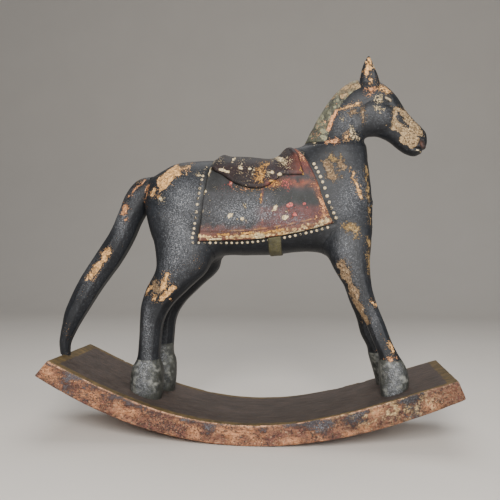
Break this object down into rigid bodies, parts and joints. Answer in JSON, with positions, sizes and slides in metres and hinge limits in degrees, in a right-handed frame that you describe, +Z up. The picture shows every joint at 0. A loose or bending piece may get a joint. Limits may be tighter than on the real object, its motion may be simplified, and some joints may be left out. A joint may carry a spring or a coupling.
{
  "type": "rocking horse",
  "caption": "Carved and painted wooden rocking horse standing on one broad curved rocker board, with a saddle cloth, saddle pad, girth, bead trim and a long tail.",
  "frame": {"origin": "the lowest point of the curved board on the horse's centre plane, where it touches the floor at rest", "axes": "+X from tail to head, +Y to the horse's left, +Z up from the floor"},
  "size_m": [0.508, 0.14, 0.4675],
  "materials": {
    "horse_paint": "worn satin paint on carved wood",
    "board_paint": "worn matte paint on bare wood",
    "mane_paint": "worn matte paint",
    "cloth_paint": "worn matte paint on a moulded gesso layer",
    "seat_paint": "worn matte paint on a moulded gesso layer",
    "girth_paint": "worn matte paint",
    "bead_ivory": "bone-coloured bead",
    "bare_wood": "turned dowel",
    "screw_steel": "plain"
  },
  "bodies": {
    "root": {"rocker_board": "board_paint", "torso": "horse_paint", "neck_head": "horse_paint", "leg_front_left": "horse_paint", "leg_front_right": "horse_paint", "leg_rear_left": "horse_paint", "leg_rear_right": "horse_paint", "tail": "horse_paint", "ear_left": "horse_paint", "ear_right": "horse_paint", "mane": "mane_paint", "saddle_cloth": "cloth_paint", "saddle_seat": "seat_paint", "girth_strap": "girth_paint", "beads_front": "bead_ivory", "beads_bottom": "bead_ivory", "beads_rear": "bead_ivory", "leg_dowels": "bare_wood", "neck_dowels": "bare_wood", "hoof_screws": "screw_steel"}
  },
  "joints": []
}
